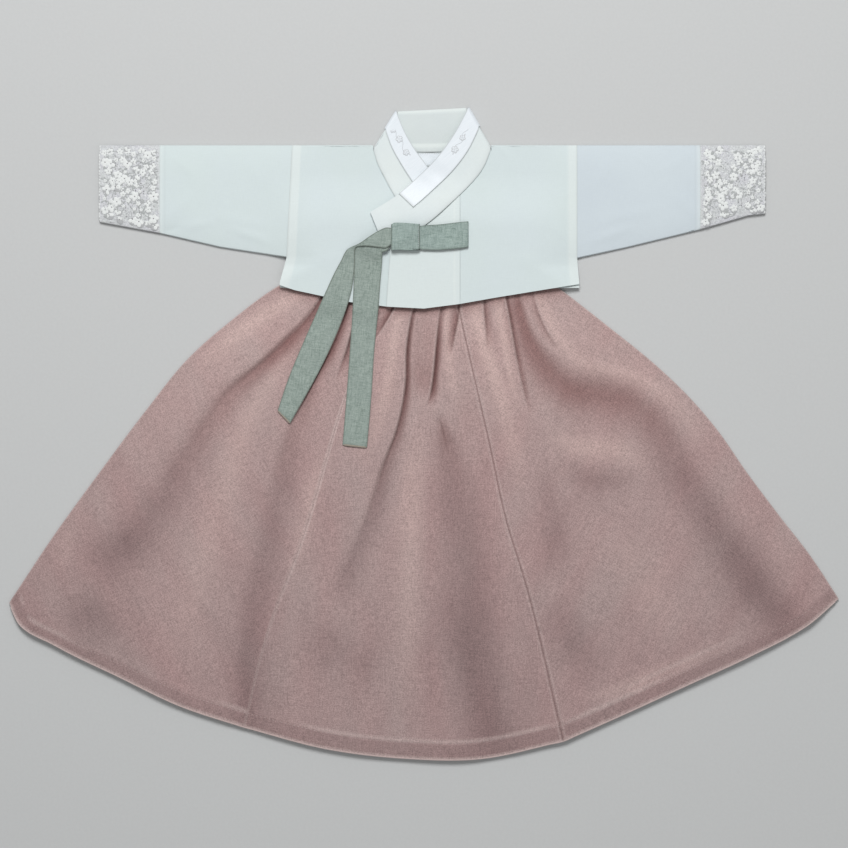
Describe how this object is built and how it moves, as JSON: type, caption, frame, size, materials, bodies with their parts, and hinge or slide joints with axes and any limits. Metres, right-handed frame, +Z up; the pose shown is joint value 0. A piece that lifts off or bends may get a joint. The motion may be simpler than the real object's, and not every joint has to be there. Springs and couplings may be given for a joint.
{
  "type": "child's hanbok",
  "caption": "Child's hanbok laid flat, front up: short crossed jacket with lace cuffs, white collar strip and tied ribbon, over a wide pleated skirt.",
  "frame": {"origin": "middle of the garment's length and width, on the surface that it lies on", "axes": "+X towards the wearer's left sleeve, +Y towards the collar, +Z up out of the front"},
  "size_m": [0.899, 0.7071, 0.0228],
  "materials": {
    "chima_cloth": "matte, fine crisp weave",
    "jeogori_cloth": "matte, smooth crisp weave",
    "cuff_lace": "matte, embroidered",
    "dongjeong_satin": "satin",
    "goreum_cloth": "matte, slubbed linen weave"
  },
  "bodies": {
    "root": {"chima_front": "chima_cloth", "chima_back": "chima_cloth", "chima_side_right": "chima_cloth", "chima_side_left": "chima_cloth", "chima_waistband": "chima_cloth", "jeogori_right": "jeogori_cloth", "jeogori_left": "jeogori_cloth", "jeogori_seop": "jeogori_cloth", "jeogori_sleeve_right": "jeogori_cloth", "jeogori_sleeve_left": "jeogori_cloth", "jeogori_cuff_right": "cuff_lace", "jeogori_cuff_left": "cuff_lace", "jeogori_git": "jeogori_cloth", "jeogori_dongjeong": "dongjeong_satin", "jeogori_label": "dongjeong_satin", "goreum_loop": "goreum_cloth", "goreum_knot": "goreum_cloth", "goreum_tail_long": "goreum_cloth", "goreum_tail_short": "goreum_cloth"}
  },
  "joints": []
}
